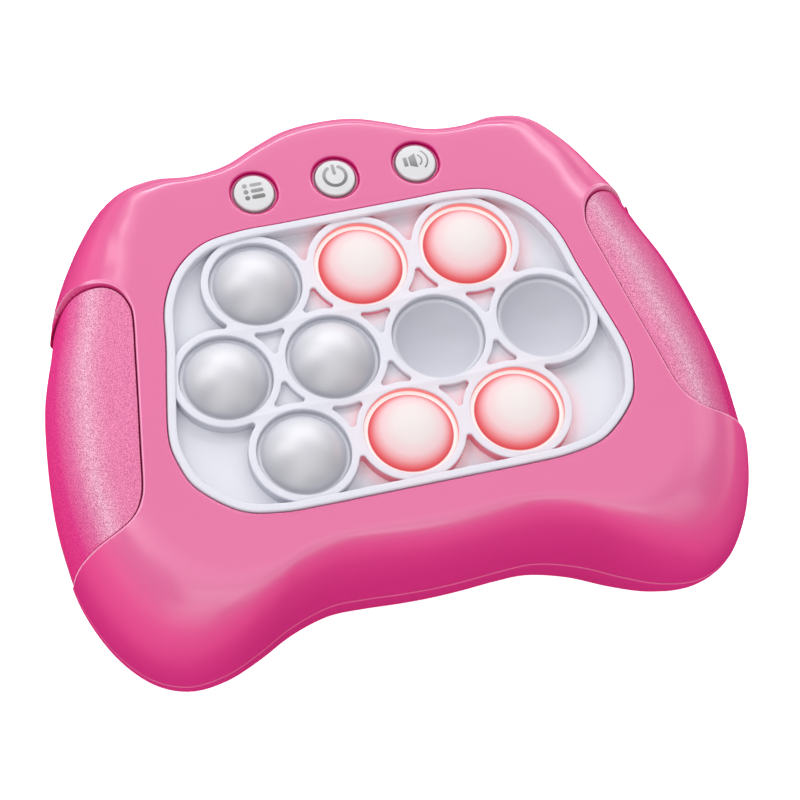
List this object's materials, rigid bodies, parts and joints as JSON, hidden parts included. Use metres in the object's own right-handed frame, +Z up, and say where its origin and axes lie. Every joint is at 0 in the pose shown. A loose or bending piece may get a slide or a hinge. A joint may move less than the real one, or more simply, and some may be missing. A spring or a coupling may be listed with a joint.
{
  "type": "electronic bubble pop game",
  "caption": "Handheld electronic bubble pop game: pink two-part shell with side grips, a white mat of silicone bubbles lit from below, and round control buttons.",
  "frame": {"origin": "centre of the footprint on the rest plane, under the rear shell's flat back", "axes": "+Z up out of the bubble panel, +X to the right across the width, +Y towards the three control buttons"},
  "size_m": [0.1836, 0.1438, 0.0445],
  "materials": {
    "pink_shell": "injection-moulded pink ABS, soft gloss",
    "pink_grip": "fine spark-textured satin, deeper pink",
    "white_silicone": "smooth satin white silicone",
    "bubble_silicone": "translucent pale grey silicone, unlit",
    "lit_bubble": "translucent silicone lit red from below",
    "button_plastic": "white ABS with grey printed symbols",
    "white_plastic": "matt white ABS",
    "circuit_board": "green solder mask",
    "steel": "zinc plated",
    "black_plastic": "black moulded",
    "carbon_rubber": "matt black",
    "led_package": "pale moulded LED package",
    "battery_jacket": "plain dark jacket"
  },
  "bodies": {
    "root": {"front_shell": "pink_shell", "rear_shell": "pink_shell", "battery_cover": "pink_shell", "left_grip": "pink_grip", "right_grip": "pink_grip", "bubble_mat": "white_silicone", "light_baffle": "white_plastic", "led_1": "led_package", "led_2": "led_package", "led_3": "led_package", "led_4": "led_package", "led_5": "led_package", "led_6": "led_package", "led_7": "led_package", "led_8": "led_package", "led_9": "led_package", "led_10": "led_package", "menu_switch": "black_plastic", "power_switch": "black_plastic", "volume_switch": "black_plastic", "main_board": "circuit_board", "button_board": "circuit_board", "speaker_frame": "black_plastic", "speaker_cone": "carbon_rubber", "battery_cover_screw": "steel", "left_battery_contact": "steel", "right_battery_contact": "steel", "battery_1": "battery_jacket", "battery_2": "battery_jacket", "battery_3": "battery_jacket", "case_screw_1": "steel", "case_screw_2": "steel", "case_screw_3": "steel", "case_screw_4": "steel", "case_screw_5": "steel"},
    "bubble_1": {"bubble_1": "bubble_silicone", "contact_pill_1": "carbon_rubber"},
    "bubble_2": {"bubble_2": "lit_bubble", "contact_pill_2": "carbon_rubber"},
    "bubble_3": {"bubble_3": "lit_bubble", "contact_pill_3": "carbon_rubber"},
    "bubble_4": {"bubble_4": "bubble_silicone", "contact_pill_4": "carbon_rubber"},
    "bubble_5": {"bubble_5": "bubble_silicone", "contact_pill_5": "carbon_rubber"},
    "bubble_6": {"bubble_6": "bubble_silicone", "contact_pill_6": "carbon_rubber"},
    "bubble_7": {"bubble_7": "bubble_silicone", "contact_pill_7": "carbon_rubber"},
    "bubble_8": {"bubble_8": "bubble_silicone", "contact_pill_8": "carbon_rubber"},
    "bubble_9": {"bubble_9": "lit_bubble", "contact_pill_9": "carbon_rubber"},
    "bubble_10": {"bubble_10": "lit_bubble", "contact_pill_10": "carbon_rubber"},
    "menu_button": {"menu_button": "button_plastic"},
    "power_button": {"power_button": "button_plastic"},
    "volume_button": {"volume_button": "button_plastic"}
  },
  "joints": [
    {"name": "bubble_1_pop", "type": "slide", "parent": "root", "child": "bubble_1", "axis": [0, 0, -1], "range_m": [0, 0.014]},
    {"name": "bubble_2_pop", "type": "slide", "parent": "root", "child": "bubble_2", "axis": [0, 0, -1], "range_m": [0, 0.014]},
    {"name": "bubble_3_pop", "type": "slide", "parent": "root", "child": "bubble_3", "axis": [0, 0, -1], "range_m": [0, 0.014]},
    {"name": "bubble_4_pop", "type": "slide", "parent": "root", "child": "bubble_4", "axis": [0, 0, -1], "range_m": [0, 0.014]},
    {"name": "bubble_5_pop", "type": "slide", "parent": "root", "child": "bubble_5", "axis": [0, 0, -1], "range_m": [0, 0.014]},
    {"name": "bubble_6_pop", "type": "slide", "parent": "root", "child": "bubble_6", "axis": [0, 0, 1], "range_m": [0, 0.014]},
    {"name": "bubble_7_pop", "type": "slide", "parent": "root", "child": "bubble_7", "axis": [0, 0, 1], "range_m": [0, 0.014]},
    {"name": "bubble_8_pop", "type": "slide", "parent": "root", "child": "bubble_8", "axis": [0, 0, -1], "range_m": [0, 0.014]},
    {"name": "bubble_9_pop", "type": "slide", "parent": "root", "child": "bubble_9", "axis": [0, 0, -1], "range_m": [0, 0.014]},
    {"name": "bubble_10_pop", "type": "slide", "parent": "root", "child": "bubble_10", "axis": [0, 0, -1], "range_m": [0, 0.014]},
    {"name": "menu_button_press", "type": "slide", "parent": "root", "child": "menu_button", "axis": [0, 0, -1], "range_m": [0, 0.001], "stiffness_N_per_m": 300, "springref_m": -0.0005},
    {"name": "power_button_press", "type": "slide", "parent": "root", "child": "power_button", "axis": [0, 0, -1], "range_m": [0, 0.001], "stiffness_N_per_m": 300, "springref_m": -0.0005},
    {"name": "volume_button_press", "type": "slide", "parent": "root", "child": "volume_button", "axis": [0, 0, -1], "range_m": [0, 0.001], "stiffness_N_per_m": 300, "springref_m": -0.0005}
  ]
}
